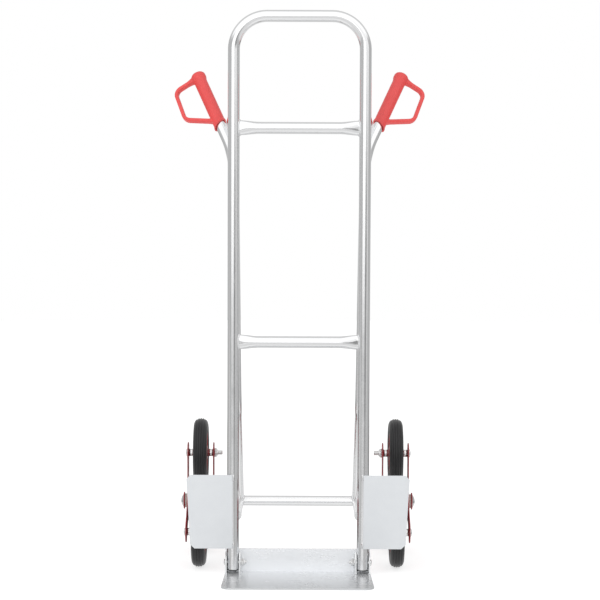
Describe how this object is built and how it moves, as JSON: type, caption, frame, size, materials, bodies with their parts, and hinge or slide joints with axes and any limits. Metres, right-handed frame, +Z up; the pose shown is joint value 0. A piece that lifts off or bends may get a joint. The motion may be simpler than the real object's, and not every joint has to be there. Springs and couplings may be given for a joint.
{
  "type": "stair climbing trolley",
  "caption": "Two-rail hand trolley with a top loop, rear D grips, a toe plate and a three-wheel star on each end of the axle.",
  "frame": {"origin": "on the floor, in the middle of the footprint: halfway between the toe plate's front edge and the rearmost tyre, on the mirror plane", "axes": "+X across the trolley to the right seen from the load side, +Y from the load side to the wheels, +Z up"},
  "size_m": [0.536, 0.5042, 1.19],
  "materials": {
    "tube_aluminium": "polished bright tube with fine drawing lines and dull weld beads",
    "sheet_aluminium": "bright rolled sheet with a soft satin grain",
    "guard_paint": "pale blue-grey satin coated sheet",
    "grip_plastic": "soft satin red plastic with a fine moulded grain",
    "plug_plastic": "matt black moulded plastic",
    "star_paint": "red coated pressed steel, slightly glossy",
    "rim_plastic": "glossy red moulded plastic",
    "tyre_rubber": "black solid rubber with fine circumferential ribs",
    "bush_nylon": "pale self-lubricating nylon",
    "zinc_steel": "zinc plated steel, lightly dulled",
    "cap_metal": "bright pressed cap"
  },
  "bodies": {
    "frame": {"axle_caps": "cap_metal", "axle_inner_washers": "zinc_steel", "axle_outer_washers": "star_paint", "axle_rod": "zinc_steel", "axle_tube": "tube_aluminium", "guard_welds": "tube_aluminium", "left_grip": "grip_plastic", "left_handle_brace": "tube_aluminium", "left_lower_strut": "tube_aluminium", "left_rear_tube": "tube_aluminium", "left_toe_lugs": "sheet_aluminium", "left_wheel_guard": "guard_paint", "main_loop": "tube_aluminium", "middle_crossbar": "tube_aluminium", "rail_end_plugs": "plug_plastic", "right_grip": "grip_plastic", "right_handle_brace": "tube_aluminium", "right_lower_strut": "tube_aluminium", "right_rear_tube": "tube_aluminium", "right_toe_lugs": "sheet_aluminium", "right_wheel_guard": "guard_paint", "toe_bolts": "zinc_steel", "toe_nuts": "zinc_steel", "toe_plate": "sheet_aluminium", "toe_washers": "zinc_steel", "upper_crossbar": "tube_aluminium"},
    "left_star": {"left_star_hub_bushes": "bush_nylon", "left_star_hub_sleeve": "star_paint", "left_star_inner_plate": "star_paint", "left_star_outer_plate": "star_paint", "left_star_wheel_bolts": "zinc_steel", "left_star_wheel_nuts": "zinc_steel", "left_star_wheel_spacers": "zinc_steel"},
    "right_star": {"right_star_hub_bushes": "bush_nylon", "right_star_hub_sleeve": "star_paint", "right_star_inner_plate": "star_paint", "right_star_outer_plate": "star_paint", "right_star_wheel_bolts": "zinc_steel", "right_star_wheel_nuts": "zinc_steel", "right_star_wheel_spacers": "zinc_steel"},
    "left_front_wheel": {"left_front_rim": "rim_plastic", "left_front_tyre": "tyre_rubber", "left_front_wheel_bush": "bush_nylon"},
    "left_rear_wheel": {"left_rear_rim": "rim_plastic", "left_rear_tyre": "tyre_rubber", "left_rear_wheel_bush": "bush_nylon"},
    "left_top_wheel": {"left_top_rim": "rim_plastic", "left_top_tyre": "tyre_rubber", "left_top_wheel_bush": "bush_nylon"},
    "right_front_wheel": {"right_front_rim": "rim_plastic", "right_front_tyre": "tyre_rubber", "right_front_wheel_bush": "bush_nylon"},
    "right_rear_wheel": {"right_rear_rim": "rim_plastic", "right_rear_tyre": "tyre_rubber", "right_rear_wheel_bush": "bush_nylon"},
    "right_top_wheel": {"right_top_rim": "rim_plastic", "right_top_tyre": "tyre_rubber", "right_top_wheel_bush": "bush_nylon"}
  },
  "joints": [
    {"name": "left_star_spin", "type": "hinge", "parent": "frame", "child": "left_star", "pos_m": [-0.213, 0.08535, 0.128], "axis": [1, 0, 0], "continuous": true},
    {"name": "left_top_wheel_spin", "type": "hinge", "parent": "left_star", "child": "left_top_wheel", "pos_m": [-0.213, 0.08535, 0.234], "axis": [1, 0, 0], "continuous": true},
    {"name": "left_front_wheel_spin", "type": "hinge", "parent": "left_star", "child": "left_front_wheel", "pos_m": [-0.213, -0.00645, 0.075], "axis": [1, 0, 0], "continuous": true},
    {"name": "left_rear_wheel_spin", "type": "hinge", "parent": "left_star", "child": "left_rear_wheel", "pos_m": [-0.213, 0.17715, 0.075], "axis": [1, 0, 0], "continuous": true},
    {"name": "right_star_spin", "type": "hinge", "parent": "frame", "child": "right_star", "pos_m": [0.213, 0.08535, 0.128], "axis": [1, 0, 0], "continuous": true},
    {"name": "right_top_wheel_spin", "type": "hinge", "parent": "right_star", "child": "right_top_wheel", "pos_m": [0.213, 0.08535, 0.234], "axis": [1, 0, 0], "continuous": true},
    {"name": "right_front_wheel_spin", "type": "hinge", "parent": "right_star", "child": "right_front_wheel", "pos_m": [0.213, -0.00645, 0.075], "axis": [1, 0, 0], "continuous": true},
    {"name": "right_rear_wheel_spin", "type": "hinge", "parent": "right_star", "child": "right_rear_wheel", "pos_m": [0.213, 0.17715, 0.075], "axis": [1, 0, 0], "continuous": true}
  ]
}
